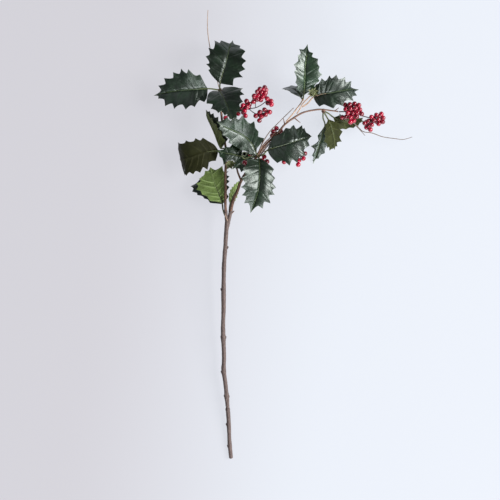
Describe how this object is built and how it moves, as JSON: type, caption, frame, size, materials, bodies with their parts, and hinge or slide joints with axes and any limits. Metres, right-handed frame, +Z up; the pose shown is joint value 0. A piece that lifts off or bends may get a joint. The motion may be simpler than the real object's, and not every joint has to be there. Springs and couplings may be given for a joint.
{
  "type": "artificial holly sprig",
  "caption": "Artificial holly sprig lying on its side: a forked moulded stem with spiny glossy leaves, red berry picks and wiry tendrils.",
  "frame": {"origin": "middle of the sprig's footprint on the surface that it lies on", "axes": "+Z up from the surface, +Y along the stem from the cut end to the leafy head, +X towards the long right-hand branch"},
  "size_m": [0.4102, 0.7132, 0.0927],
  "materials": {
    "leaf": "coated die-cut fabric blade, dark blue-green satin face, olive matt back",
    "stem_bark": "moulded bark, grey-brown",
    "branch_bark": "moulded bark over wire, pinkish tan",
    "twig_wire": "plastic-covered wire, tan",
    "berry": "gloss lacquer over a hard foam ball"
  },
  "bodies": {
    "root": {"main_stem": "stem_bark", "branch_left": "branch_bark", "branch_right": "branch_bark", "hollow_stub": "branch_bark", "twig_long": "twig_wire", "twig_w1": "twig_wire", "twig_w2": "twig_wire", "tendril_top": "twig_wire", "tendril_right": "twig_wire", "leaf_01": "leaf", "leaf_02": "leaf", "leaf_03": "leaf", "leaf_04": "leaf", "leaf_05": "leaf", "leaf_06": "leaf", "leaf_07": "leaf", "leaf_08": "leaf", "leaf_09": "leaf", "leaf_10": "leaf", "leaf_11": "leaf", "leaf_12": "leaf", "leaf_13": "leaf", "leaf_14": "leaf", "leaf_15": "leaf", "leaf_16": "leaf", "leaf_17": "leaf", "leaf_18": "leaf", "leaf_19": "leaf", "berry_pick_a": "berry", "berry_pick_b": "berry", "berry_pick_c": "berry", "berry_pick_d": "berry", "berry_pick_e": "berry", "berry_pick_f": "berry"}
  },
  "joints": []
}
